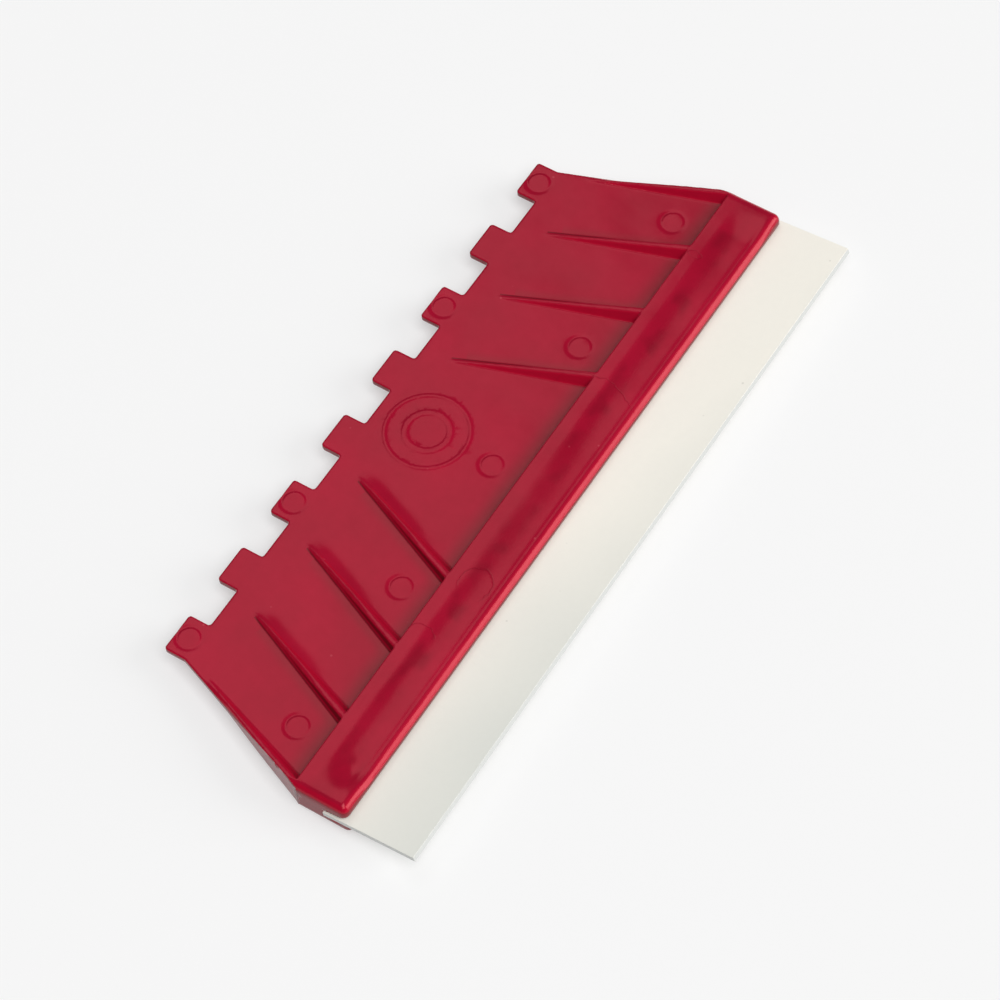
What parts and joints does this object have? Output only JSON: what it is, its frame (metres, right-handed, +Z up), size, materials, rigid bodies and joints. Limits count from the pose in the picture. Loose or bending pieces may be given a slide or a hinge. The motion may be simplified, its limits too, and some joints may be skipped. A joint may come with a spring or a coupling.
{
  "type": "squeegee applicator",
  "caption": "Flat ribbed plastic holder with a castellated rear edge and a lengthwise jaw that grips a replaceable flexible squeegee blade, for smoothing vinyl film.",
  "frame": {"origin": "centre of the flat underside of the jaw, half way along the tool", "axes": "+X along the blade, -Y towards the working edge, +Z up through the ribbed face"},
  "size_m": [0.178, 0.0732, 0.0083],
  "materials": {
    "holder": "red moulded plastic with a soft sheen",
    "blade": "off-white translucent flexible plastic, smooth"
  },
  "bodies": {
    "holder": {"holder": "holder"},
    "blade": {"blade": "blade"}
  },
  "joints": [
    {"name": "blade_slide", "type": "slide", "parent": "holder", "child": "blade", "axis": [1, 0, 0], "range_m": [-0.185, 0.185]}
  ]
}
